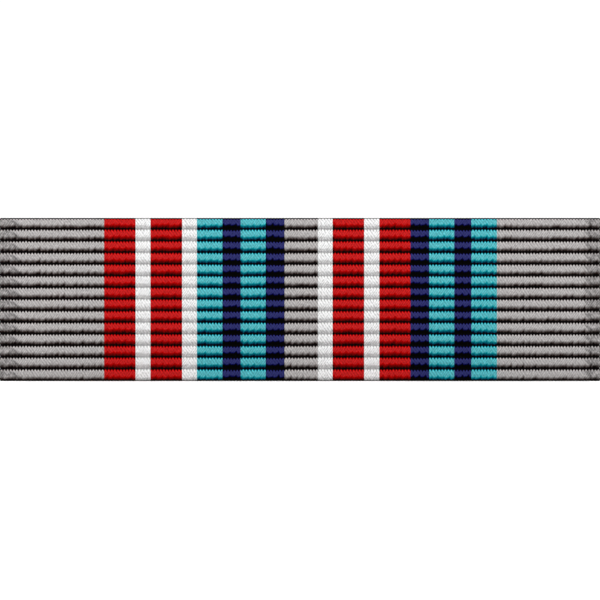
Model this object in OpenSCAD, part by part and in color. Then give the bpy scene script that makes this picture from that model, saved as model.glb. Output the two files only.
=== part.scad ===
// Service ribbon bar: a wrapped ribbon on a folded brass carrier that slides along a
// clutch-back mount bar. Two pointed posts stand out of the bar, each with a butterfly clutch.
// The origin is the middle of the bar's back face, where it meets the garment.
// +X runs along the ribbon, +Z is up as worn, and +Y points out of the back.

/* [Ribbon] */
// Width of the ribbon from selvedge to selvedge
ribbon_width = 34.925; // [30:0.025:42]
// Height of the wrapped ribbon
ribbon_height = 9.525; // [9:0.025:13]
// Thickness of the woven cloth
cloth = 0.4; // [0.3:0.05:0.6]
// Thickness of the cloth where the carrier pinches it
crimped_cloth = 0.3; // [0.2:0.05:0.4]
// Radius of the folds at the ribbon's front edges
fold_radius = 0.3; // [0.2:0.05:0.4]
// How far each selvedge stands past the carrier's end
selvedge_overhang = 0.26; // [0.1:0.01:0.5]

/* [Ribbon carrier] */
// Thickness of the carrier's sheet
carrier_sheet = 0.3; // [0.2:0.05:0.4]
// Open height between the carrier's two lips
lip_gap = 5.2; // [4.6:0.1:5.6]
// Height of the outer leaf of each hem, past its fold
hem_height = 0.85; // [0.5:0.05:1]
// Inside radius of the carrier's front corners
carrier_front_inside = 0.05; // [0.02:0.01:0.1]
// Inside radius of the carrier's back corners
carrier_back_inside = 0.15; // [0.05:0.01:0.2]

/* [Mount bar] */
// Thickness of the bar's sheet
bar_sheet = 0.4; // [0.3:0.05:0.6]
// How much shorter the bar is than the carrier at each end
bar_end_inset = 0.2; // [0.1:0.05:1]
// Clearance round the bar's edges in the carrier
slide_clearance = 0.1; // [0.05:0.01:0.2]
// Clearance between the bar's raised pad and the carrier's lips
pad_clearance = 0.15; // [0.1:0.01:0.3]
// How far the raised pad stands out past the carrier's lips
pad_proud = 0.05; // [0.02:0.01:0.2]
// Inside radius of the bar's bends
bar_inside = 0.1; // [0.05:0.01:0.2]
// Radius of the bar's four corners
bar_corner = 0.8; // [0.3:0.1:1]
// Height of the friction bumps on the bar's front
bump_height = 0.06; // [0.02:0.01:0.08]
// Radius of each friction bump where it meets the bar
bump_radius = 0.45; // [0.3:0.05:0.6]
// Distance of each friction bump from the bar's end
bump_inset = 5; // [3:0.5:8]

/* [Posts] */
// Distance between the two posts
post_pitch = 22.225; // [18:0.025:24]
// Diameter of a post
post_d = 1.1; // [0.9:0.05:1.4]
// Diameter of a post where it is pressed into the bar
stake_d = 1.5; // [1.45:0.05:1.9]
// Length of a post behind the bar
post_length = 8.5; // [8.2:0.1:10]
// Length of a post's point
point_length = 1.5; // [1:0.1:1.8]
// Diameter of the flat at the tip of the point
point_tip_d = 0.12; // [0.05:0.01:0.3]
// Depth of the grooves that the jaws drop into
groove_depth = 0.19; // [0.16:0.01:0.25]
// Width of each groove
groove_width = 0.7; // [0.6:0.05:0.8]
// Diameter of a post's head, inside the bar
head_d = 2.6; // [2:0.1:3.4]
// Thickness of a post's head
head_thick = 0.35; // [0.2:0.05:0.5]

/* [Clutch base] */
// Diameter of a clutch
clutch_d = 9.2; // [8.6:0.1:11]
// Gap that the clutch leaves for the garment
garment_gap = 2.4; // [2.3:0.1:2.6]
// Thickness of the base's sheet
base_sheet = 0.3; // [0.2:0.05:0.4]
// Diameter of the rolled rim
rim_d = 0.7; // [0.6:0.05:0.8]
// Diameter of the raised middle that the clip sits on
boss_d = 5; // [4.8:0.1:5.4]
// Slope of the step up to the raised middle
step_angle = 60; // [45:5:75]
// Bore of the eyelet in the middle of the base
eyelet_bore = 2.8; // [2.8:0.1:3]
// Diameter of the eyelet's flare, which keeps the clip on
flare_d = 4.4; // [4:0.1:4.6]
// Number of grip nubs that are pressed towards the garment
nub_count = 8; // [4:1:10]
// Height of each grip nub
nub_height = 0.18; // [0.1:0.01:0.22]
// Radius of each grip nub's ball
nub_radius = 0.4; // [0.35:0.05:0.45]

/* [Clutch clip] */
// Thickness of the clip's spring sheet
clip_sheet = 0.28; // [0.2:0.02:0.32]
// Width of the clip's web and of its wings
clip_width = 5; // [4.6:0.1:5.2]
// Distance from the post to each curl's centre
curl_reach = 2.9; // [2.8:0.05:3]
// Middle radius of the upper wing's curl
upper_curl = 0.75; // [0.7:0.05:0.8]
// Middle radius of the lower wing's curl
lower_curl = 0.5; // [0.45:0.05:0.55]
// Angle at which the upper wing climbs away from its curl
upper_climb = 21; // [20:0.5:22]
// Angle at which the lower wing climbs away from its curl
lower_climb = 6; // [5:0.5:7]
// Angle of the finger tabs above the base
tab_angle = 56; // [50:1:60]
// Clearance between the jaws' gripping edges and the post
jaw_clearance = 0.02; // [0.01:0.01:0.05]
// How far the jaws can open, along the wing
jaw_play = 0.38; // [0.3:0.02:0.45]
// Width of the lower wing's neck, where it crosses the upper wing
neck_width = 2.2; // [2:0.1:2.4]
// Clearance at each side of the neck in the upper wing's window
window_clearance = 0.3; // [0.2:0.05:0.4]
// Clearance between the clip and the eyelet that it turns on
swivel_clearance = 0.08; // [0.05:0.01:0.1]

/* [Hidden] */
$fn = 48;
// A length that cuts clean through a face
through = 1;
// How far inside an open space a cut starts
inside = 0.25;
// How far the flats of a folded sheet run into its bends, so that they join
lap = 0.01;

// Depths of the layers, from the garment plane at 0 towards the front
hem_back = -pad_proud;
hem_front = hem_back - carrier_sheet;
flange_back = hem_front - crimped_cloth;
flange_front = flange_back - carrier_sheet;
bar_back = flange_front - slide_clearance;
bar_front = bar_back - bar_sheet;
plate_back = bar_front - slide_clearance;
plate_front = plate_back - carrier_sheet;
ribbon_front = plate_front - cloth;

// Ribbon carrier
carrier_length = ribbon_width - 2 * selvedge_overhang;
carrier_height = ribbon_height - 2 * cloth;
hem_bend = (crimped_cloth + carrier_sheet) / 2;
front_bend = carrier_front_inside + carrier_sheet / 2;
back_bend = carrier_back_inside + carrier_sheet / 2;
fold_height = lip_gap / 2 + hem_bend + carrier_sheet / 2;
carrier_mid_height = (carrier_height - carrier_sheet) / 2;
side_run = flange_back - plate_front - carrier_sheet - front_bend - back_bend;
flange_run = carrier_mid_height - back_bend - fold_height;
plate_run = 2 * (carrier_mid_height - front_bend);

// Ribbon
// The outer leaf of each hem presses this far into the cloth
leaf_press = 0.1;
cloth_back = hem_front + leaf_press;

// Mount bar
bar_length = carrier_length - 2 * bar_end_inset;
bar_height = carrier_height - 2 * (carrier_sheet + slide_clearance);
pad_height = lip_gap - 2 * pad_clearance;
bar_bend = bar_inside + bar_sheet / 2;
rail_run = (bar_height - pad_height) / 2 + bar_sheet / 2 - bar_bend;
riser_run = -bar_back - 2 * bar_bend;
pad_run = pad_height - bar_sheet - 2 * bar_bend;
bump_ball = (bump_radius * bump_radius + bump_height * bump_height) / (2 * bump_height);
bump_row = (bar_height + pad_height) / 4;

// Posts
post_radius = post_d / 2;

// Clutch base, measured from its garment face. It is one sheet from the rim to the flare.
base_radius = clutch_d / 2;
rim_circle = base_radius - rim_d / 2;
base_inside = 0.1;
base_bend = base_inside + base_sheet / 2;
// The raised middle lifts the clip clear of the rim
rim_clearance = 0.05;
boss_top = rim_d + rim_clearance;
boss_rise = boss_top - base_sheet;
step_run = (boss_rise - 2 * base_bend * (1 - cos(step_angle))) / sin(step_angle);
step_reach = 2 * base_bend * sin(step_angle) + step_run * cos(step_angle);
floor_run = rim_circle - boss_d / 2 - step_reach;
eyelet_middle = (eyelet_bore + base_sheet) / 2;
boss_run = boss_d / 2 - eyelet_middle - base_bend;
web_bottom = boss_top + swivel_clearance;
web_top = web_bottom + clip_sheet;
eyelet_run = web_top - web_bottom + 2 * swivel_clearance + base_sheet - 2 * base_bend;
flare_run = flare_d / 2 - eyelet_middle - base_bend;
nub_circle = (base_radius - rim_d + boss_d / 2 + step_reach) / 2;

// Clutch clip
web_middle = web_bottom + clip_sheet / 2;
web_hole = eyelet_middle + base_sheet / 2 + swivel_clearance;
// The web carries each curl this far round from its underside
web_curl = 110;
// The slit in each curl closes by the angle that the wing is squeezed
curl_slit = 10;
tab_bend = 0.5;
jaw_radius = post_radius + jaw_clearance;
jaw_bar = 0.5;
window_start = jaw_radius + jaw_bar;
// The window stops this far short of the curl's centre
window_stop = 0.35;
window_end = curl_reach - window_stop;
// The lower wing narrows to its neck this far before the post
neck_start = 0.9;
// Where each wing bends up into its finger tab, past the post
upper_run_past = 1.4;
lower_run_past = 1.35;
upper_tab = 1.7;
lower_tab = 2.9;
tab_corner = 1.8;

// Height of a wing's middle above the base where it crosses the post
function jaw_height(curl, climb) =
    web_middle + curl * (1 + cos(climb)) + (curl_reach + curl * sin(climb)) * tan(climb);
// Length of a wing from its curl to a point past the post
function wing_run(curl, climb, past) = (curl_reach + curl * sin(climb) + past) / cos(climb);

upper_jaw = jaw_height(upper_curl, upper_climb);
lower_jaw = jaw_height(lower_curl, lower_climb);

// Arc of a bent sheet round the origin
module bend_arc(radius, sheet, from, to) {
    reach = 2 * (radius + sheet);
    middle = (from + to) / 2;
    intersection() {
        difference() {
            circle(r = radius + sheet / 2);
            circle(r = radius - sheet / 2);
        }
        polygon([
            [0, 0],
            reach * [cos(from), sin(from)],
            reach * [cos(middle), sin(middle)],
            reach * [cos(to), sin(to)],
        ]);
    }
}

// Edge view of a folded sheet that starts at the origin and heads along +X.
// Each step is [length, 0] for a flat, or [middle radius, angle] for a bend, left is positive.
module folded_sheet(sheet, steps, i = 0) {
    if (i < len(steps)) {
        size = steps[i][0];
        turn = steps[i][1];
        side = sign(turn);
        if (turn == 0) {
            before = i > 0 ? lap : 0;
            after = i < len(steps) - 1 ? lap : 0;
            translate([-before, -sheet / 2]) square([before + size + after, sheet]);
            translate([size, 0]) folded_sheet(sheet, steps, i + 1);
        } else {
            translate([0, side * size]) bend_arc(size, sheet, -side * 90, turn - side * 90);
            translate([size * sin(abs(turn)), side * size * (1 - cos(turn))])
                rotate(turn)
                    folded_sheet(sheet, steps, i + 1);
        }
    }
}

// Turns a drawing of depth and height into a bar along X, centred on the origin
module along_x(length) {
    translate([-length / 2, 0, 0])
        rotate([90, 0, 90])
            linear_extrude(length)
                children();
}

// Rectangle from low to high with round corners
module rounded_box(low, high, radius) {
    size = high - low;
    translate(low + [radius, 0]) square([size[0] - 2 * radius, size[1]]);
    translate(low + [0, radius]) square([size[0], size[1] - 2 * radius]);
    for (x = [low[0] + radius, high[0] - radius], y = [low[1] + radius, high[1] - radius])
        translate([x, y]) circle(r = radius);
}

// Outside of the carrier, without its hems, with one corner radius at the front and one at the back
module carrier_outline() {
    half = carrier_height / 2;
    front_radius = front_bend + carrier_sheet / 2;
    back_radius = back_bend + carrier_sheet / 2;
    intersection() {
        rounded_box([plate_front, -half], [flange_back + through, half], front_radius);
        rounded_box([plate_front - through, -half], [flange_back, half], back_radius);
    }
}

module ribbon() {
    half = ribbon_height / 2;
    hem_end = fold_height + hem_height;
    color("darkgray")
        along_x(ribbon_width)
            difference() {
                rounded_box([ribbon_front, -half], [cloth_back, half], fold_radius);
                carrier_outline();
                translate([flange_back - inside, -fold_height]) square([through, 2 * fold_height]);
                translate([hem_front, -hem_end]) square([through, 2 * hem_end]);
            }
}

module ribbon_carrier() {
    color("goldenrod")
        along_x(carrier_length)
            translate([hem_back - carrier_sheet / 2, fold_height + hem_height])
                rotate(-90)
                    folded_sheet(carrier_sheet, [
                        [hem_height, 0],
                        [hem_bend, -180],
                        [flange_run, 0],
                        [back_bend, 90],
                        [side_run, 0],
                        [front_bend, 90],
                        [plate_run, 0],
                        [front_bend, 90],
                        [side_run, 0],
                        [back_bend, 90],
                        [flange_run, 0],
                        [hem_bend, -180],
                        [hem_height, 0],
                    ]);
}

// Outline of the bar seen from the back, to trim its ends
module bar_plan() {
    rotate([90, 0, 0])
        linear_extrude(4 * through, center = true)
            rounded_box([-bar_length / 2, -bar_height / 2], [bar_length / 2, bar_height / 2], bar_corner);
}

module mount_bar() {
    color("darkgoldenrod") {
        difference() {
            intersection() {
                along_x(bar_length)
                    translate([bar_back - bar_sheet / 2, bar_height / 2])
                        rotate(-90)
                            folded_sheet(bar_sheet, [
                                [rail_run, 0],
                                [bar_bend, 90],
                                [riser_run, 0],
                                [bar_bend, -90],
                                [pad_run, 0],
                                [bar_bend, -90],
                                [riser_run, 0],
                                [bar_bend, 90],
                                [rail_run, 0],
                            ]);
                bar_plan();
            }
            for (x = [-1, 1] * post_pitch / 2)
                translate([x, 0, 0])
                    rotate([90, 0, 0])
                        cylinder(h = 2 * through, d = stake_d, center = true);
        }
        for (x = [-1, 1] * (bar_length / 2 - bump_inset), z = [-1, 1] * bump_row)
            translate([x, bar_front, z]) friction_bump();
    }
}

// Ball cap that stands out of the bar's front
module friction_bump() {
    intersection() {
        translate([0, bump_ball - bump_height, 0]) sphere(r = bump_ball);
        translate([-bump_ball, -bump_height, -bump_ball])
            cube([2 * bump_ball, bump_height + bar_sheet / 4, 2 * bump_ball]);
    }
}

// Edge view of a post from its axis outwards, with its length along Y
module post_profile() {
    shank_end = post_length - point_length;
    difference() {
        union() {
            translate([0, -bar_sheet]) square([post_radius, bar_sheet + shank_end]);
            translate([0, -bar_sheet]) square([stake_d / 2, bar_sheet]);
            translate([0, -bar_sheet - head_thick]) square([head_d / 2, head_thick]);
            polygon([
                [0, shank_end],
                [post_radius, shank_end],
                [point_tip_d / 2, post_length],
                [0, post_length],
            ]);
        }
        for (jaw = [lower_jaw, upper_jaw])
            translate([post_radius - groove_depth, garment_gap + jaw - groove_width / 2])
                square([through, groove_width]);
    }
}

module post(x) {
    color("silver")
        translate([x, 0, 0])
            rotate([-90, 0, 0])
                rotate_extrude()
                    post_profile();
}

// Puts a clutch piece on its post, with its garment face at the garment gap
module on_post(x) {
    translate([x, garment_gap, 0]) rotate([-90, 0, 0]) children();
}

// Edge view of the clutch base: rolled rim, floor, raised middle, eyelet and its flare
module base_profile() {
    translate([rim_circle, rim_d / 2]) circle(d = rim_d);
    translate([rim_circle, base_sheet / 2])
        rotate(180)
            folded_sheet(base_sheet, [
                [floor_run, 0],
                [base_bend, -step_angle],
                [step_run, 0],
                [base_bend, step_angle],
                [boss_run, 0],
                [base_bend, -90],
                [eyelet_run, 0],
                [base_bend, -90],
                [flare_run, 0],
            ]);
}

module clutch_base() {
    color("gold")
        difference() {
            union() {
                rotate_extrude() base_profile();
                nubs(nub_height) sphere(r = nub_radius);
            }
            translate([0, 0, base_sheet]) nubs(nub_height) sphere(r = nub_radius);
        }
}

// A ring of grip nubs, each sunk so that it stands out of the garment face by its height
module nubs(height) {
    for (i = [0:nub_count - 1])
        rotate(360 / nub_count * (i + 0.5))
            translate([nub_circle, 0, nub_radius - height])
                children();
}

// Turns an edge view in the plane of X and height into a strip of a given width
module strip(width) {
    rotate([90, 0, 0])
        linear_extrude(width, center = true)
            children();
}

// Part of the curl that belongs to the web, at the curl on the -X side
module web_curl_edge(curl) {
    translate([-curl_reach, web_middle])
        mirror([1, 0])
            folded_sheet(clip_sheet, [[curl, web_curl]]);
}

module clip_web() {
    color("gold")
        difference() {
            union() {
                strip(clip_width) {
                    translate([-curl_reach, web_bottom]) square([2 * curl_reach, clip_sheet]);
                    web_curl_edge(upper_curl);
                }
                strip(clip_width) mirror([1, 0]) web_curl_edge(lower_curl);
            }
            cylinder(h = 2 * web_top, r = web_hole);
        }
}

// Edge view of a wing that starts at the curl on the -X side and crosses the post
module wing_edge(curl, climb, past, tab) {
    wing_curl = 180 - climb - web_curl - curl_slit;
    from = 90 + climb + wing_curl;
    translate([-curl_reach, web_middle + curl])
        rotate(from)
            translate([curl, 0])
                rotate(-90)
                    folded_sheet(clip_sheet, [
                        [curl, -wing_curl],
                        [wing_run(curl, climb, past), 0],
                        [tab_bend, tab_angle - climb],
                        [tab, 0],
                    ]);
}

// Outline that rounds the corners of a finger tab, and starts well past the curl
module tab_plan(tip, width) {
    linear_extrude(post_length)
        rounded_box([-base_radius - tab_corner, -width / 2], [tip, width / 2], tab_corner);
}

// Slot that grips the post at its far side and lets the wing slide off towards +X
module jaw_slot() {
    translate([0, 0, web_top]) {
        cylinder(h = post_length, r = jaw_radius);
        translate([jaw_play, 0, 0]) cylinder(h = post_length, r = jaw_radius);
        translate([0, -jaw_radius, 0]) cube([jaw_play, 2 * jaw_radius, post_length]);
    }
}

module upper_wing() {
    tip = upper_run_past + tab_bend + upper_tab * cos(tab_angle);
    window = neck_width + 2 * window_clearance;
    color("gold")
        difference() {
            intersection() {
                strip(clip_width) wing_edge(upper_curl, upper_climb, upper_run_past, upper_tab);
                tab_plan(tip, clip_width);
            }
            jaw_slot();
            translate([-window_end, -window / 2, web_top])
                cube([window_end - window_start, window, post_length]);
        }
}

// The lower wing faces the other way: its curl is on the +X side
module lower_wing() {
    tip = lower_run_past + tab_bend + lower_tab * cos(tab_angle);
    tab_start = upper_jaw;
    color("gold")
        mirror([1, 0, 0])
            difference() {
                intersection() {
                    strip(clip_width) wing_edge(lower_curl, lower_climb, lower_run_past, lower_tab);
                    tab_plan(tip, clip_width);
                }
                jaw_slot();
                for (side = [-1, 1])
                    translate([-neck_start, side * clip_width / 2 - (clip_width - neck_width) / 2, 0])
                        cube([post_length, clip_width - neck_width, tab_start]);
            }
}

ribbon();
ribbon_carrier();
mount_bar();
post(-post_pitch / 2);  // left_post
post(post_pitch / 2);  // right_post
on_post(-post_pitch / 2) clutch_base();  // left_clutch_base
on_post(-post_pitch / 2) clip_web();  // left_clip_web
on_post(-post_pitch / 2) upper_wing();  // left_upper_wing
on_post(-post_pitch / 2) lower_wing();  // left_lower_wing
on_post(post_pitch / 2) clutch_base();  // right_clutch_base
on_post(post_pitch / 2) clip_web();  // right_clip_web
on_post(post_pitch / 2) upper_wing();  // right_upper_wing
on_post(post_pitch / 2) lower_wing();  // right_lower_wing
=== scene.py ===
import math

import bpy
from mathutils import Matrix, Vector


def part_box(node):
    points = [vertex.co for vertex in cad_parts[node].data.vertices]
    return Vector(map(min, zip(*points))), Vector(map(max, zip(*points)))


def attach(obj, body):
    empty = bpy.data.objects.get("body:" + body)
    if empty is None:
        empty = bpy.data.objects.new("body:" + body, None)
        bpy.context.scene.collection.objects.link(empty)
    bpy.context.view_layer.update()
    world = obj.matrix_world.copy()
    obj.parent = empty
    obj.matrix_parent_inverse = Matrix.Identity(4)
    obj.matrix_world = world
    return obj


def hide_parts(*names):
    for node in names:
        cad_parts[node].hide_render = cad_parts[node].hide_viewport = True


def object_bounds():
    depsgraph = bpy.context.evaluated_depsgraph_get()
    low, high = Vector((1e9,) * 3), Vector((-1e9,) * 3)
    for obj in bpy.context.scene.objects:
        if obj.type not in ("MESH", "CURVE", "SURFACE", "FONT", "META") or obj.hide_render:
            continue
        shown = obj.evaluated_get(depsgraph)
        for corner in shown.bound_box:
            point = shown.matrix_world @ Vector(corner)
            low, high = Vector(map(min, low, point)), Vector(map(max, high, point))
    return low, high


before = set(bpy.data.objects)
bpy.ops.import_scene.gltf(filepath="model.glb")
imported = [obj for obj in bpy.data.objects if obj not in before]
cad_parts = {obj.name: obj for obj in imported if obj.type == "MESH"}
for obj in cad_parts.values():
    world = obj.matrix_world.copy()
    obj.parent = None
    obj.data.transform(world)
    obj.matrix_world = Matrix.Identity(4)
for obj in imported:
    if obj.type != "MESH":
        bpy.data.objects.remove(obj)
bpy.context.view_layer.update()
mm = 0.001

# Stripes of the ribbon from left to right: thread colour and width in mm
STRIPES = [
    ("grey", 6.06),
    ("red", 1.83),
    ("white", 0.87),
    ("red", 1.84),
    ("white", 0.86),
    ("teal", 1.485),
    ("navy", 1.065),
    ("teal", 1.455),
    ("navy", 1.095),
    ("grey", 1.945),
    ("white", 0.855),
    ("red", 1.835),
    ("white", 0.885),
    ("red", 1.81),
    ("navy", 1.095),
    ("teal", 1.455),
    ("navy", 0.995),
    ("teal", 1.49),
    ("grey", 6.),
]
# Thread colours as the eye reads them, from 0 to 1, before any shading
THREADS = {
    "grey": (0.705, 0.690, 0.687),
    "red": (0.760, 0.125, 0.125),
    "white": (0.953, 0.953, 0.953),
    "teal": (0.335, 0.715, 0.750),
    "navy": (0.180, 0.190, 0.400),
}
# Turns brightness as the eye reads it into an amount of light
eye_gamma = 2.2


def make_camera():
    """A long lens straight in front of the ribbon, which fills the view from side to side."""
    low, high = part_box("ribbon")
    data = bpy.data.cameras.new("camera")
    data.lens = 400
    data.sensor_width = 36
    camera = bpy.data.objects.new("camera", data)
    bpy.context.scene.collection.objects.link(camera)
    distance = (high.x - low.x) * data.lens / data.sensor_width
    drop = 0.03 * mm
    camera.location = ((low.x + high.x) / 2, low.y - distance, (low.z + high.z) / 2 - drop)
    camera.rotation_euler = (math.pi / 2, 0, 0)
    data.clip_start = 0.01
    data.clip_end = 20
    bpy.context.scene.camera = camera


# ---------------------------------------------------------------- shader helpers


def add(tree, kind, *inputs, **settings):
    """Adds a node and returns it. An input is a socket to join, a value, or None to leave alone."""
    node = tree.nodes.new("ShaderNode" + kind)
    for name, value in settings.items():
        setattr(node, name, value)
    for socket, value in zip(node.inputs, inputs):
        if isinstance(value, bpy.types.NodeSocket):
            tree.links.new(value, socket)
        elif value is not None:
            socket.default_value = value
    return node


def sums(tree, operation, *inputs, clamp=False):
    """Adds a Math node and returns its result."""
    return add(tree, "Math", *inputs, operation=operation, use_clamp=clamp).outputs[0]


def vectors(tree, operation, *inputs):
    """Adds a Vector Math node and returns its result."""
    node = add(tree, "VectorMath", operation=operation)
    for socket, value in zip(node.inputs, inputs):
        if isinstance(value, bpy.types.NodeSocket):
            tree.links.new(value, socket)
        else:
            socket.default_value = value
    return node.outputs["Value" if operation == "DOT_PRODUCT" else "Vector"]


def mixed(tree, share, first, second):
    """Adds a colour Mix node and returns its result."""
    node = add(tree, "Mix", data_type="RGBA")
    for socket, value in ((node.inputs[0], share), (node.inputs[6], first), (node.inputs[7], second)):
        if isinstance(value, bpy.types.NodeSocket):
            tree.links.new(value, socket)
        elif isinstance(value, (tuple, list)):
            socket.default_value = (*value[:3], 1)
        else:
            socket.default_value = value
    return node.outputs[2]


def smooth(tree, value, low, high, start=0.0, end=1.0):
    """Runs smoothly from start to end while value goes from low to high."""
    node = add(tree, "MapRange", value, low, high, start, end, interpolation_type="SMOOTHSTEP")
    return node.outputs[0]


def ramp(tree, value, stops):
    """Adds a ramp of greys. Each stop is (place, level)."""
    node = add(tree, "ValToRGB", value)
    band = node.color_ramp
    while len(band.elements) < len(stops):
        band.elements.new(0.5)
    for element, (place, level) in zip(band.elements, stops):
        element.position = place
        element.color = (level, level, level, 1)
    return node.outputs[0]


def noise(tree, place, scale, detail, roughness=0.5):
    """Adds a noise texture and returns its value, about 0.5 on average."""
    node = add(tree, "TexNoise", place)
    node.inputs["Scale"].default_value = scale
    node.inputs["Detail"].default_value = detail
    node.inputs["Roughness"].default_value = roughness
    return node.outputs[0]


def millimetres(tree, stretch=(1, 1, 1)):
    """The piece's own coordinates in mm, each axis multiplied by its stretch."""
    place = add(tree, "TexCoord").outputs["Object"]
    scale = tuple(s / mm for s in stretch)
    return add(tree, "Mapping", place, None, None, scale).outputs[0]


def new_group(name, inputs, outputs):
    """Starts a node group. Inputs are {name: default}, outputs are {name: socket kind}."""
    group = bpy.data.node_groups.new(name, "ShaderNodeTree")
    for label, value in inputs.items():
        kind = "NodeSocketVector" if isinstance(value, tuple) else "NodeSocketFloat"
        if isinstance(value, tuple) and len(value) == 4:
            kind = "NodeSocketColor"
        group.interface.new_socket(label, in_out="INPUT", socket_type=kind).default_value = value
    for label, kind in outputs.items():
        group.interface.new_socket(label, in_out="OUTPUT", socket_type=kind)
    start = group.nodes.new("NodeGroupInput")
    end = group.nodes.new("NodeGroupOutput")
    return group, start.outputs, end.inputs


def use_group(tree, group, **inputs):
    """Places a node group in a material, with inputs set or joined by name. Returns its outputs."""
    node = tree.nodes.new("ShaderNodeGroup")
    node.node_tree = group
    for label, value in inputs.items():
        socket = node.inputs[label]
        if isinstance(value, bpy.types.NodeSocket):
            tree.links.new(value, socket)
        else:
            socket.default_value = value
    return node.outputs


def new_material(name):
    """A material with a Principled shader, its node tree and the shader."""
    material = bpy.data.materials.new(name)
    material.use_nodes = True
    tree = material.node_tree
    tree.nodes.clear()
    shader = tree.nodes.new("ShaderNodeBsdfPrincipled")
    output = tree.nodes.new("ShaderNodeOutputMaterial")
    tree.links.new(shader.outputs[0], output.inputs[0])
    return material, tree, shader


# ---------------------------------------------------------------- ribbon

front_ribs = 14
rib_pitch = 0.6775 * mm
# Height that the groove above the first rib would have if the front ran on past the top fold
first_groove = 4.8035 * mm
# That groove itself lies over the fold, this far below the ribbon's top
top_groove_drop = 0.024 * mm
# The last one is pulled down a little, over the bottom fold
last_groove = -4.705 * mm
rib_depth = 0.12 * mm
warp_pitch = 0.178 * mm
warp_relief = 0.012 * mm
# Where the rows of points lie on each rib, from its upper groove down
rib_rows = (0.0, 0.07, 0.15, 0.25, 0.45, 0.63, 0.77, 0.89)
# Shares of a rib: it has risen at the first and starts to fall at the second
rise_end = 0.2
fall_start = 0.56
# The cloth between two threads rises this much later
notch_lag = 0.05

carrier_sheet = 0.3 * mm
outer_fold = 0.3 * mm
inner_fold = 0.05 * mm
# Half the length of the cloth round one outer fold
half_arc = outer_fold * math.pi / 4
# Heights of the cloth's raw end inside the hem, and of where it comes out
pinched_end = 3.1 * mm
hem_end = 3.9 * mm
# Past the hem's edge it swells to its full thickness over this height
hem_swell = 0.15 * mm
section_steps = 16

# The ribs are flat up to the first distance from a fold, and full beyond the second
flat_until = 0.2 * mm
full_from = 0.6 * mm
# How far the cloth is pressed in, behind the folds and right at them
back_press = 0.04 * mm
fold_press = 0.004 * mm
# At each selvedge the cloth dips, and the loops of the weft stand out
edge_dip = 0.03 * mm
edge_dip_width = 0.1 * mm
loop_stand = 0.03 * mm
loop_width = 0.3 * mm
# The inner face is this much narrower on each side
inner_margin = 0.08 * mm


def eased(value, low, high):
    """0 below low, 1 above high, and smooth between."""
    t = min(max((value - low) / (high - low), 0.0), 1.0)
    return t * t * (3 - 2 * t)


def line(start, end, steps=section_steps):
    """Points on a straight line, without its end."""
    return [
        (start[0] + (end[0] - start[0]) * i / steps, start[1] + (end[1] - start[1]) * i / steps)
        for i in range(steps)
    ]


def quarter(centre, radius, start):
    """Points on a quarter of a circle, without its end. The start is an angle in degrees."""
    angles = [math.radians(start + 90 * i / section_steps) for i in range(section_steps)]
    return [(centre[0] + radius * math.cos(a), centre[1] + radius * math.sin(a)) for a in angles]


def cloth_face(pinch, back, top, front, radius):
    """Section of one face of the wrapped cloth, in depth and height, from one raw end to the other."""
    swollen = (back, hem_end + hem_swell)
    half = line((pinch, pinched_end), (pinch, hem_end))
    half += line((pinch, hem_end), swollen)
    half += line(swollen, (back, top - radius))
    half += quarter((back - radius, top - radius), radius, 0)
    half += line((back - radius, top), (front + radius, top))
    half += quarter((front + radius, top - radius), radius, 90)
    half += line((front, top - radius), (front, 0), 4 * section_steps)
    return half + [(front, 0)] + [(y, -z) for y, z in reversed(half)]


def running_lengths(points):
    """Length along a line of points, at each point."""
    lengths = [0.0]
    for a, b in zip(points, points[1:]):
        lengths.append(lengths[-1] + math.dist(a, b))
    return lengths


def between(x, xs, ys):
    """Reads ys at x, where xs rises."""
    i = 0
    while i < len(xs) - 2 and xs[i + 1] < x:
        i += 1
    t = (x - xs[i]) / (xs[i + 1] - xs[i])
    return ys[i] + (ys[i + 1] - ys[i]) * t


def point_on(section, place):
    """Depth and height at a place, counted in points along a section."""
    i = min(int(place), len(section) - 2)
    return [section[i][k] + (section[i + 1][k] - section[i][k]) * (place - i) for k in (0, 1)]


def outward_at(section, place):
    """Direction straight out of the cloth, in depth and height, at a place along its section."""
    i = min(int(place), len(section) - 2)
    before = section[max(i - 1, 0)]
    after = section[min(i + 2, len(section) - 1)]
    along = Vector((after[0] - before[0], after[1] - before[1])).normalized()
    return Vector((along.y, -along.x))


def front_lengths(heights, outer, lengths, front):
    """Length along the outer face down to each of some heights on the ribbon's front."""
    fronts = [i for i, point in enumerate(outer) if point[0] < front + outer_fold]
    drop = [-outer[i][1] for i in fronts]
    places = range(len(outer))
    return [between(between(-height, drop, fronts), places, lengths) for height in heights]


def rib_marks(outer, lengths, front, top):
    """Length along the outer face at each groove and raw end, and how many ribs lie behind."""
    heights = [top - top_groove_drop]
    heights += [first_groove - rib_pitch * i for i in range(1, front_ribs)]
    heights += [last_groove]
    grooves = front_lengths(heights, outer, lengths, front)
    back_ribs = round(grooves[0] / rib_pitch)
    tail = lengths[-1] - grooves[-1]
    marks = [grooves[0] * i / back_ribs for i in range(back_ribs)]
    marks += grooves
    marks += [grooves[-1] + tail * (i + 1) / back_ribs for i in range(back_ribs)]
    return marks, back_ribs


def fold_middles(outer, lengths, front, top):
    """Length along the outer face at the middle of the front's top fold and of its bottom fold."""
    upper, lower = front_lengths((top - outer_fold, outer_fold - top), outer, lengths, front)
    return upper - half_arc, lower + half_arc


def flattened(length, folds):
    """How much the ribs are pressed flat near the front folds, from 0 to 1."""
    away = min(abs(length - fold) for fold in folds)
    return 1 - eased(away, flat_until, full_from)


def pressed_in(length, folds):
    """How far the cloth is pressed in, behind the front folds and right at them."""
    past = max(folds[0] - length, length - folds[1])
    behind = eased(past, half_arc, 2.2 * half_arc)
    return back_press * behind + fold_press * flattened(length, folds)


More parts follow.
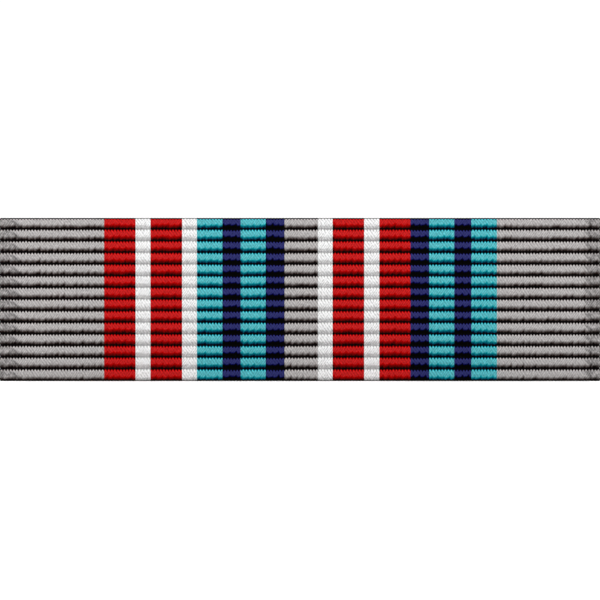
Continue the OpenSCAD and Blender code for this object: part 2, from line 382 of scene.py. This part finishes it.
def rib_rise(t, notch):
    """Height of the cloth, 0 to 1, a share t of the way down a rib. Between threads notch is 1."""
    return eased(t - notch_lag * notch, 0.0, rise_end) * (1 - eased(t, fall_start, 1.0) ** 1.2)


def outer_row(t, centre, outward, depth, pressed, half_width, columns):
    """Points across the outer face, a share t of the way down a rib."""
    loop = math.sin(math.pi * t)
    points = []
    for column in range(columns + 1):
        notch = (column + 1) % 2
        x = -half_width + 2 * half_width * column / columns
        sink = pressed + depth * (1 - rib_rise(t, notch)) + warp_relief * notch
        to_edge = half_width - abs(x)
        sink += edge_dip * (1 - eased(to_edge, 0, edge_dip_width)) ** 2
        stand = loop_stand * (loop + 0.5) * (1 - eased(to_edge, 0, loop_width))
        x += math.copysign(stand, x)
        points.append((x, centre[0] - outward.x * sink, centre[1] - outward.y * sink))
    return points


def sheet_faces(row_count, columns):
    """Faces of the closed sheet. The outer points come first, then two inner points to a row."""
    wide = columns + 1
    first_inner = row_count * wide
    faces = []
    for r in range(row_count - 1):
        for c in range(columns):
            at = r * wide + c
            faces.append((at, at + wide, at + wide + 1, at + 1))
    for r in range(row_count - 1):
        at = first_inner + 2 * r
        left = r * wide
        right = left + columns
        faces.append((at, at + 1, at + 3, at + 2))
        faces.append((left, at, at + 2, left + wide))
        faces.append((right, right + wide, at + 3, at + 1))
    last_row = (row_count - 1) * wide
    last_inner = first_inner + 2 * (row_count - 1)
    faces.append((first_inner, *range(wide), first_inner + 1))
    faces.append((last_inner + 1, *reversed(range(last_row, last_row + wide)), last_inner))
    return faces


def ribbon_mesh(points, faces, rib_values, half_width, last_rib):
    """The sheet's mesh. Its rib values place the shade, and its UV map lays the cloth out flat."""
    mesh = bpy.data.meshes.new("woven_ribbon")
    mesh.from_pydata(points, [], faces)
    values = mesh.attributes.new("rib", "FLOAT", "POINT")
    values.data.foreach_set("value", rib_values)
    flat_map = mesh.uv_layers.new(name="weave")
    for corner, on_map in zip(mesh.loops, flat_map.data):
        x = points[corner.vertex_index][0]
        on_map.uv = (0.5 + x / (2 * half_width), rib_values[corner.vertex_index] / last_rib)
    mesh.polygons.foreach_set("use_smooth", [len(face) == 4 for face in faces])
    mesh.update()
    return mesh


def make_ribbon():
    """The wrapped ribbon: one closed sheet, with its ribs and warp threads raised outside."""
    low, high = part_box("ribbon")
    carrier_low, carrier_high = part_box("ribbon_carrier")
    pinch = carrier_high.y - carrier_sheet
    inner_back = pinch - carrier_sheet
    outer = cloth_face(pinch, high.y, high.z, low.y, outer_fold)
    inner = cloth_face(inner_back, inner_back, carrier_high.z, carrier_low.y, inner_fold)
    lengths = running_lengths(outer)
    marks, back_ribs = rib_marks(outer, lengths, low.y, high.z)
    folds = fold_middles(outer, lengths, low.y, high.z)

    half_width = (high.x - low.x) / 2
    inner_edge = half_width - inner_margin
    threads = round(2 * half_width / warp_pitch)
    columns = 2 * threads
    last_rib = len(marks) - 1
    rows = [rib + t for rib in range(last_rib) for t in rib_rows] + [float(last_rib)]
    outer_points, inner_points = [], []
    for row in rows:
        length = between(row, range(len(marks)), marks)
        place = between(length, lengths, range(len(outer)))
        centre, outward = point_on(outer, place), outward_at(outer, place)
        depth = rib_depth * (1 - flattened(length, folds))
        pressed = pressed_in(length, folds)
        outer_points += outer_row(row % 1, centre, outward, depth, pressed, half_width, columns)
        y, z = point_on(inner, place)
        inner_points += [(-inner_edge, y, z), (inner_edge, y, z)]
    rib_values = [row for row in rows for _ in range(columns + 1)]
    rib_values += [row for row in rows for _ in range(2)]

    faces = sheet_faces(len(rows), columns)
    mesh = ribbon_mesh(outer_points + inner_points, faces, rib_values, half_width, last_rib)
    ribbon = bpy.data.objects.new("woven_ribbon", mesh)
    bpy.context.scene.collection.objects.link(ribbon)
    mesh.materials.append(ribbon_material(half_width, back_ribs, threads))
    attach(ribbon, "ribbon_unit")
    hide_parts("ribbon")


def burn_group():
    """Deepens a thread colour where it turns into shade: pale threads stay pale, dark ones go black."""
    group, given, result = new_group(
        "shade_of_thread",
        {"Colour": (0.5, 0.5, 0.5, 1), "Light": 1.0, "Hollow": 1.0},
        {"Colour": "NodeSocketColor"},
    )
    darkest, palest = (0.02, 0.015, 0.015), (0.93, 0.93, 0.93)
    lack = vectors(group, "SUBTRACT", (1, 1, 1), given["Colour"])
    gain = sums(group, "DIVIDE", 1.0, given["Light"])
    joined = add(group, "CombineXYZ", gain, gain, gain).outputs[0]
    lack = vectors(group, "MULTIPLY", lack, joined)
    left = vectors(group, "SUBTRACT", (1, 1, 1), lack)
    left = vectors(group, "MAXIMUM", left, darkest)
    seen = add(group, "Gamma", left, eye_gamma).outputs[0]
    # The second multiplier holds painted shade in the grooves and on the undersides, and the painted
    # highlight on the thread crowns
    depth = add(group, "CombineXYZ", given["Hollow"], given["Hollow"], given["Hollow"]).outputs[0]
    seen = vectors(group, "MINIMUM", vectors(group, "MULTIPLY", seen, depth), palest)
    group.links.new(seen, result["Colour"])
    return group


def stripe_colours(tree, x, half_width):
    """Colour of the threads across the ribbon. Each stripe is laid over the ones to its left."""
    boundary = -half_width / mm
    colour = THREADS[STRIPES[0][0]]
    for (_, width), (thread, _) in zip(STRIPES, STRIPES[1:]):
        boundary += width
        past = sums(tree, "GREATER_THAN", x, boundary)
        colour = mixed(tree, past, colour, THREADS[thread])
    return colour


def thread_turns(tree, t, wave, each):
    """Share of a rib, shifted so that each warp thread turns over its top at its own height."""
    scallop, unevenness = 0.056, 0.06
    turn = sums(tree, "MULTIPLY", wave, sums(tree, "MULTIPLY_ADD", each, 0.9, 0.55))
    upper = sums(tree, "MULTIPLY_ADD", turn, scallop, t)
    return sums(tree, "MULTIPLY_ADD", sums(tree, "SUBTRACT", each, 0.5), unevenness, upper)


def underside(tree, x, t, rib, wave, each, thread_turn):
    """Share of a rib, shifted into leaning wedges that keep their places from rib to rib."""
    slant, drift = 0.28, 0.06
    broad_size, narrow_size, pair_size, crown_size = 0.20, 0.38, 0.07, -0.02
    lean = sums(tree, "MULTIPLY_ADD", t, slant, x)
    wedge = add(tree, "CombineXYZ", lean, 0.0, sums(tree, "MULTIPLY", rib, drift)).outputs[0]
    broad = noise(tree, wedge, 1.5, 1.0)
    narrow = noise(tree, wedge, 3.9, 2.0, 0.6)
    fading = smooth(tree, t, 0.5, 0.9, 1.0, 0.35)
    lower = sums(tree, "MULTIPLY", sums(tree, "SUBTRACT", broad, 0.5), broad_size)
    lower = sums(tree, "MULTIPLY_ADD", sums(tree, "SUBTRACT", narrow, 0.5), narrow_size, lower)
    # The shade starts a little lower on every second thread
    pairs = sums(tree, "COSINE", sums(tree, "MULTIPLY", lean, thread_turn / 2))
    pairs = sums(tree, "MULTIPLY", pairs, sums(tree, "MULTIPLY_ADD", each, 1.2, 0.4))
    lower = sums(tree, "MULTIPLY_ADD", pairs, pair_size, lower)
    lower = sums(tree, "MULTIPLY_ADD", lower, fading, t)
    return sums(tree, "MULTIPLY_ADD", wave, crown_size, lower), narrow


def rib_light(tree, t, upper, lower, narrow):
    """Light on a rib: it comes up over the thread turns and goes down along the underside."""
    coming = [(0.0, 0.2), (0.085, 0.26), (0.125, 0.41), (0.17, 0.7), (0.22, 1.0)]
    going = [(0.6, 1.0), (0.68, 0.82), (0.76, 0.595), (0.84, 0.455), (0.92, 0.37), (1.0, 0.25)]
    light = sums(tree, "MINIMUM", ramp(tree, upper, coming), ramp(tree, lower, going))
    under = sums(tree, "MULTIPLY", smooth(tree, t, 0.66, 0.8), smooth(tree, narrow, 0.47, 0.62))
    light = sums(tree, "MULTIPLY", light, sums(tree, "MULTIPLY_ADD", under, -0.14, 1.02))
    groove = smooth(tree, t, 0.92, 1.0, 1.0, 0.7)
    return sums(tree, "MULTIPLY", light, groove)


def fold_shade(tree, light, rib, turns):
    """Darkens the cloth where it turns over the top and bottom folds."""
    for turn in turns:
        away = sums(tree, "ABSOLUTE", sums(tree, "SUBTRACT", rib, turn))
        light = sums(tree, "MULTIPLY", light, smooth(tree, away, 0.09, 0.24, 0.4, 1.0))
    return light


def selvedge_side(tree, from_edge, crease_at, inside_until, outside_from):
    """Mask of the crease in one selvedge, where shade is painted, and mask of the cloth between it and
    the edge.
    """
    off_crease = sums(tree, "ABSOLUTE", sums(tree, "SUBTRACT", from_edge, crease_at))
    crease = smooth(tree, off_crease, 0.0, 0.2, 1.0, 0.0)
    inside = smooth(tree, from_edge, inside_until, outside_from, 1.0, 0.0)
    return crease, inside


def selvedges(tree, place, x, t, edge):
    """The weft turns back there, so the cloth is mottled and a little darker up to a slanting crease,
    which gets painted shade.
    """
    slant_left, slant_right = -0.85, 0.68
    mottle = noise(tree, place, 3.6, 3.0, 0.62)
    bent = sums(tree, "MULTIPLY_ADD", mottle, 0.16, -0.08)
    from_left = sums(tree, "ADD", sums(tree, "ADD", x, edge), bent)
    from_left = sums(tree, "MULTIPLY_ADD", t, slant_left, from_left)
    from_right = sums(tree, "SUBTRACT", sums(tree, "SUBTRACT", edge, x), bent)
    from_right = sums(tree, "MULTIPLY_ADD", t, slant_right, from_right)
    crease_left, inside_left = selvedge_side(tree, from_left, 0.45, 0.18, 0.54)
    crease_right, inside_right = selvedge_side(tree, from_right, 1.03, 0.86, 1.18)
    selvedge = sums(tree, "MAXIMUM", inside_left, inside_right)
    # Painted shade along the slanting crease, fading out towards each rib's top
    crease = sums(tree, "MULTIPLY_ADD", crease_right, 0.7, crease_left)
    crease = sums(tree, "MULTIPLY", crease, smooth(tree, t, 0.1, 0.45))
    mottle_darkening = smooth(tree, mottle, 0.3, 0.7, 0.29, -0.01)
    crease_shade_and_mottle = sums(tree, "MULTIPLY_ADD", crease, 0.27, sums(tree, "MULTIPLY", mottle_darkening, selvedge))
    return selvedge, crease_shade_and_mottle


def thread_twist(tree, place, x, t):
    """Twist of the threads: fine hatching that leans one way or the other, with some grain."""
    slope, hatching, graininess = 0.72, 0.085, 0.4
    turns_per_mm = 2 * math.pi * mm / warp_pitch
    down_rib = sums(tree, "MULTIPLY", t, rib_pitch / mm)
    falling = sums(tree, "MULTIPLY_ADD", down_rib, -slope, x)
    rising = sums(tree, "MULTIPLY_ADD", down_rib, slope, x)
    one_way = sums(tree, "COSINE", sums(tree, "MULTIPLY", falling, turns_per_mm))
    other_way = sums(tree, "COSINE", sums(tree, "MULTIPLY", rising, turns_per_mm * 1.31))
    patch = smooth(tree, noise(tree, place, 2.1, 1.0), 0.38, 0.62)
    crossed = add(tree, "Mix", patch, data_type="FLOAT")
    tree.links.new(one_way, crossed.inputs[2])
    tree.links.new(other_way, crossed.inputs[3])
    grain = noise(tree, place, 8.5, 1.0)
    hatch = sums(tree, "MULTIPLY", crossed.outputs[0], hatching)
    return sums(tree, "MULTIPLY_ADD", sums(tree, "SUBTRACT", grain, 0.5), graininess, hatch)


def thread_brightness(tree, upper, wave, hatch, crease_shade_and_mottle):
    """Painted highlight on the crowns of the threads near each rib's top, and darker at the selvedges,
    with painted shade along the crease and mottling.
    """
    crown_at, crown_reach, highlight_gain, evenly = 0.19, 0.11, 0.36, 0.968
    off_crown = sums(tree, "ABSOLUTE", sums(tree, "SUBTRACT", upper, crown_at))
    crown_highlight = smooth(tree, off_crown, 0.0, crown_reach, 1.0, 0.0)
    # Painted highlight, strongest on the crowns of the threads
    raised = sums(tree, "MULTIPLY", crown_highlight, sums(tree, "MULTIPLY_ADD", wave, 0.5, 0.4))
    brightness = sums(tree, "MULTIPLY_ADD", raised, highlight_gain, sums(tree, "ADD", hatch, evenly))
    return sums(tree, "SUBTRACT", brightness, crease_shade_and_mottle)


def raise_threads(tree, shader, wave, hatch):
    """Threads and their twist, raised by a bump."""
    crowns = sums(tree, "MULTIPLY_ADD", wave, 0.5, 0.5)
    relief = sums(tree, "MULTIPLY_ADD", hatch, 3.5, crowns)
    bump = add(tree, "Bump")
    bump.inputs["Strength"].default_value = 0.5
    bump.inputs["Distance"].default_value = warp_relief
    tree.links.new(relief, bump.inputs["Height"])
    tree.links.new(bump.outputs[0], shader.inputs["Normal"])


def ribbon_material(half_width, back_ribs, threads):
    """Woven silk-like ribbon: striped warp, ribs with painted light on their tops and painted shade on
    their undersides, and scalloped thread turns.
    """
    material, tree, shader = new_material("ribbon_weave")
    place = millimetres(tree)
    x = add(tree, "SeparateXYZ", place).outputs[0]
    rib = add(tree, "Attribute", attribute_name="rib").outputs["Fac"]
    t = sums(tree, "FRACT", rib)

    # The wave is 1 on the crown of each warp thread and -1 between threads
    thread_turn = math.pi * threads * mm / half_width
    wave = sums(tree, "COSINE", sums(tree, "MULTIPLY_ADD", x, thread_turn, math.pi * (threads + 1)))
    across = add(tree, "Mapping", place, None, None, (1, 0, 0)).outputs[0]
    each = noise(tree, across, 4.1, 0.0)

    upper = thread_turns(tree, t, wave, each)
    lower, narrow = underside(tree, x, t, rib, wave, each, thread_turn)
    # Painted light and shade on the ribs, folds and selvedges, by which the thread colour is then
    # deepened
    light = rib_light(tree, t, upper, lower, narrow)
    light = fold_shade(tree, light, rib, (back_ribs - 0.03, back_ribs + front_ribs + 0.12))
    selvedge, crease_shade_and_mottle = selvedges(tree, place, x, t, half_width / mm)
    light = sums(tree, "MULTIPLY", light, sums(tree, "MULTIPLY_ADD", selvedge, -0.04, 1.0))

    hatch = thread_twist(tree, place, x, t)
    brightness = thread_brightness(tree, upper, wave, hatch, crease_shade_and_mottle)
    # Painted shade: darkest in the grooves, darker down each underside, lightest on the rib tops. It is
    # multiplied by the painted crown highlight, the thread twist, and the selvedge's crease shade and
    # mottle
    groove_shade_stops = [
        (0.0, 0.64), (0.04, 0.66), (0.12, 0.78), (0.21, 0.94), (0.29, 0.97),
        (0.60, 0.97), (0.71, 0.88), (0.79, 0.78), (0.96, 0.74), (1.0, 0.64),
    ]
    painted_shade_and_weave = ramp(tree, t, groove_shade_stops)
    painted_shade_and_weave = sums(tree, "MULTIPLY", painted_shade_and_weave, sums(tree, "POWER", brightness, eye_gamma))
    stripes = stripe_colours(tree, x, half_width)
    colour = use_group(tree, burn_group(), Colour=stripes, Light=light, Hollow=painted_shade_and_weave)["Colour"]
    tree.links.new(colour, shader.inputs["Base Color"])
    shader.inputs["Roughness"].default_value = 0.8
    shader.inputs["Specular IOR Level"].default_value = 0.04
    raise_threads(tree, shader, wave, hatch)
    return material


# ---------------------------------------------------------------- metal


def edge_wear_group():
    """Mask of the edges that rubbing keeps bright, and a normal that rounds them."""
    group, given, result = new_group(
        "edge_wear",
        {"Radius": 0.05 * mm, "Spread": 6.0, "Breakup": 0.5},
        {"Mask": "NodeSocketFloat", "Normal": "NodeSocketVector"},
    )
    bevel = add(group, "Bevel", samples=6)
    group.links.new(given["Radius"], bevel.inputs["Radius"])
    flat = add(group, "NewGeometry").outputs["Normal"]
    alike = vectors(group, "DOT_PRODUCT", bevel.outputs[0], flat)
    turned = sums(group, "SUBTRACT", 1.0, alike)
    mask = sums(group, "MULTIPLY", turned, given["Spread"])
    spots = noise(group, millimetres(group), 2.3, 3.0, 0.6)
    spots = sums(group, "SUBTRACT", spots, 0.5)
    mask = sums(group, "MULTIPLY_ADD", sums(group, "MULTIPLY", spots, given["Breakup"]), mask, mask)
    group.links.new(sums(group, "MULTIPLY", mask, 1.0, clamp=True), result["Mask"])
    group.links.new(bevel.outputs[0], result["Normal"])
    return group


def grain_group():
    """Rolling or turning lines along one direction, and the odd scratch."""
    group, given, result = new_group(
        "metal_grain",
        {"Place": (0.0, 0.0, 0.0), "Scratches": 0.5},
        {"Lines": "NodeSocketFloat", "Scratches": "NodeSocketFloat"},
    )
    lines = noise(group, given["Place"], 1.0, 4.0, 0.6)
    group.links.new(lines, result["Lines"])
    turned = add(group, "Mapping", given["Place"], None, (0.4, 0.9, 0.2), (0.7, 0.7, 0.7)).outputs[0]
    scratch = noise(group, turned, 0.9, 1.0, 0.3)
    off_line = sums(group, "ABSOLUTE", sums(group, "SUBTRACT", scratch, 0.52))
    thin = smooth(group, off_line, 0.0, 0.006, 1.0, 0.0)
    group.links.new(sums(group, "MULTIPLY", thin, given["Scratches"]), result["Scratches"])
    return group


def tarnish_group():
    """Slow, faint clouds of tarnish and a few dark specks, deeper where metal lies close to metal."""
    group, given, result = new_group(
        "tarnish",
        {"Amount": 0.5, "Reach": 0.5 * mm},
        {"Cloud": "NodeSocketFloat", "Recess": "NodeSocketFloat"},
    )
    cloud = noise(group, millimetres(group), 0.32, 5.0, 0.68)
    cloud = smooth(group, cloud, 0.42, 0.74, 0.0, 0.6)
    specks = noise(group, millimetres(group), 3.2, 2.0, 0.5)
    specks = smooth(group, specks, 0.68, 0.74)
    both = sums(group, "MULTIPLY_ADD", specks, 0.5, cloud)
    group.links.new(sums(group, "MULTIPLY", both, given["Amount"], clamp=True), result["Cloud"])
    open_sky = add(group, "AmbientOcclusion", samples=6)
    group.links.new(given["Reach"], open_sky.inputs["Distance"])
    closed = smooth(group, open_sky.outputs["AO"], 0.3, 0.85, 1.0, 0.0)
    group.links.new(closed, result["Recess"])
    return group


def metal(name, groups, clean, stretch, dull, rough, amount, wear_radius, grain_depth):
    """Sheet or turned metal: clean and tarnished colour, direction of grain, and roughness."""
    recess_dirt, rubbed_clean = 0.75, 0.7
    line_tint, scratch_tint, wear_tint = 0.16, 0.5, 0.6
    aged_rough, line_rough, wear_rough = 0.2, 0.09, -0.06
    material, tree, shader = new_material(name)
    wear = use_group(tree, groups["wear"], Radius=wear_radius)
    grain = use_group(tree, groups["grain"], Place=millimetres(tree, stretch))
    tarnish = use_group(tree, groups["tarnish"], Amount=amount)
    aged = sums(tree, "MULTIPLY_ADD", tarnish["Recess"], recess_dirt, tarnish["Cloud"], clamp=True)
    rubbed = sums(tree, "MULTIPLY", wear["Mask"], rubbed_clean)
    aged = sums(tree, "SUBTRACT", aged, rubbed, clamp=True)
    lines = smooth(tree, grain["Lines"], 0.3, 0.7)
    colour = mixed(tree, aged, clean, dull)
    colour = mixed(tree, sums(tree, "MULTIPLY", lines, line_tint), colour, dull)
    colour = mixed(tree, sums(tree, "MULTIPLY", grain["Scratches"], scratch_tint), colour, dull)
    bright = tuple(min(c * 1.12 + 0.04, 1) for c in clean)
    colour = mixed(tree, sums(tree, "MULTIPLY", wear["Mask"], wear_tint), colour, bright)
    tree.links.new(colour, shader.inputs["Base Color"])
    shader.inputs["Metallic"].default_value = 1.0
    roughness = sums(tree, "MULTIPLY_ADD", aged, aged_rough, rough)
    roughness = sums(tree, "MULTIPLY_ADD", lines, line_rough, roughness)
    roughness = sums(tree, "MULTIPLY_ADD", wear["Mask"], wear_rough, roughness)
    tree.links.new(roughness, shader.inputs["Roughness"])
    bump = add(tree, "Bump")
    bump.inputs["Strength"].default_value = 0.7
    bump.inputs["Distance"].default_value = grain_depth
    height = sums(tree, "SUBTRACT", grain["Lines"], grain["Scratches"])
    tree.links.new(height, bump.inputs["Height"])
    tree.links.new(wear["Normal"], bump.inputs["Normal"])
    tree.links.new(bump.outputs[0], shader.inputs["Normal"])
    return material


def finish_metal_parts():
    """Gives each CAD part its metal."""
    groups = {"wear": edge_wear_group(), "grain": grain_group(), "tarnish": tarnish_group()}
    rolled = {"stretch": (0.3, 16, 16), "dull": (0.30, 0.18, 0.08)}
    stamped = {"stretch": (5, 5, 5), "dull": (0.30, 0.18, 0.08)}
    turned = {"stretch": (1.0, 20, 1.0), "dull": (0.30, 0.27, 0.23)}
    finishes = {
        "carrier": metal(
            "carrier_brass", groups, (0.83, 0.57, 0.24), **rolled,
            rough=0.24, amount=0.45, wear_radius=0.06 * mm, grain_depth=0.005 * mm,
        ),
        "bar": metal(
            "bar_brass", groups, (0.76, 0.51, 0.22), **rolled,
            rough=0.30, amount=0.6, wear_radius=0.08 * mm, grain_depth=0.007 * mm,
        ),
        "post": metal(
            "post_nickel", groups, (0.74, 0.72, 0.68), **turned,
            rough=0.19, amount=0.3, wear_radius=0.1 * mm, grain_depth=0.003 * mm,
        ),
        "base": metal(
            "clutch_brass", groups, (0.90, 0.65, 0.30), **stamped,
            rough=0.17, amount=0.35, wear_radius=0.06 * mm, grain_depth=0.003 * mm,
        ),
        "spring": metal(
            "spring_brass", groups, (0.87, 0.61, 0.27), **rolled,
            rough=0.20, amount=0.35, wear_radius=0.06 * mm, grain_depth=0.002 * mm,
        ),
    }
    parts = {"ribbon_carrier": "carrier", "mount_bar": "bar"}
    for side in ("left", "right"):
        parts[f"{side}_post"] = "post"
        parts[f"{side}_clutch_base"] = "base"
        for piece in ("clip_web", "upper_wing", "lower_wing"):
            parts[f"{side}_{piece}"] = "spring"
    for node, finish in parts.items():
        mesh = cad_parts[node].data
        mesh.materials.clear()
        mesh.materials.append(finishes[finish])


# ---------------------------------------------------------------- room


def floor_material():
    """White, with a little light of its own for the camera, and clear when seen from below."""
    own_light = 0.6
    material, tree, shader = new_material("floor_white")
    shader.inputs["Base Color"].default_value = (0.88, 0.88, 0.88, 1)
    shader.inputs["Roughness"].default_value = 0.9
    shader.inputs["Specular IOR Level"].default_value = 0.1
    output = next(n for n in tree.nodes if n.type == "OUTPUT_MATERIAL")
    clear = add(tree, "BsdfTransparent").outputs[0]
    below = add(tree, "NewGeometry").outputs["Backfacing"]
    direct = add(tree, "LightPath").outputs["Is Camera Ray"]
    strength = sums(tree, "MULTIPLY", direct, own_light)
    glow = add(tree, "Emission", (1, 1, 1, 1), strength).outputs[0]
    lit = add(tree, "AddShader", shader.outputs[0], glow).outputs[0]
    seen = add(tree, "MixShader", below, lit, clear).outputs[0]
    tree.links.new(seen, output.inputs[0])
    return material


def make_floor():
    """Pale floor just under the ribbon's lower edge."""
    width, gap = 6, 0.02 * mm
    low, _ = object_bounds()
    bpy.ops.object.select_all(action="DESELECT")
    bpy.ops.mesh.primitive_plane_add(size=width, location=(0, 0, low.z - gap))
    floor = bpy.context.object
    floor.name = "floor"
    bpy.ops.object.transform_apply(location=True)
    floor.data.materials.append(floor_material())


def make_world():
    """Even light on cloth, a studio for metal to mirror, and plain white for the camera."""
    surround, backdrop = 0.55, 1.05
    world = bpy.data.worlds.new("studio")
    bpy.context.scene.world = world
    world.use_nodes = True
    tree = world.node_tree
    tree.nodes.clear()
    height = add(tree, "SeparateXYZ", add(tree, "TexCoord").outputs["Generated"]).outputs[2]
    rise = sums(tree, "MULTIPLY_ADD", height, 0.5, 0.5)
    even = ramp(tree, rise, [(0.0, 0.35), (0.5, 0.42), (0.62, 0.6), (1.0, 0.85)])
    studio_stops = [(0.0, 0.2), (0.47, 0.3), (0.53, 0.55), (0.60, 0.95), (0.72, 1.7), (1.0, 1.0)]
    studio = ramp(tree, rise, studio_stops)
    mirrored = add(tree, "LightPath").outputs["Is Glossy Ray"]
    sky = mixed(tree, mirrored, even, studio)
    soft = add(tree, "Background", sky, surround).outputs[0]
    white = add(tree, "Background", (1, 1, 1, 1), backdrop).outputs[0]
    seen = add(tree, "LightPath").outputs["Is Camera Ray"]
    shown = add(tree, "MixShader", seen, soft, white).outputs[0]
    output = tree.nodes.new("ShaderNodeOutputWorld")
    tree.links.new(shown, output.inputs[0])


def make_light(name, place, size, power):
    """A square softbox that shines on the middle of the ribbon."""
    data = bpy.data.lights.new(name, "AREA")
    data.shape = "SQUARE"
    data.size = size
    data.energy = power
    light = bpy.data.objects.new(name, data)
    bpy.context.scene.collection.objects.link(light)
    light.location = place
    light.rotation_euler = (-light.location).to_track_quat("-Z", "Y").to_euler()


def make_room():
    """Floor, surround, four softboxes, and colours shown as they are."""
    make_floor()
    make_world()
    make_light("key", (-0.06, -0.26, 0.24), 0.16, 0.6)
    make_light("front_fill", (0.10, -0.34, 0.06), 0.22, 0.2)
    make_light("back_box", (0.10, 0.26, 0.20), 0.16, 0.7)
    make_light("side_box", (-0.22, 0.12, 0.24), 0.12, 0.4)
    scene = bpy.context.scene
    scene.view_settings.view_transform = "Standard"
    scene.view_settings.look = "None"


make_camera()
make_ribbon()
finish_metal_parts()
make_room()
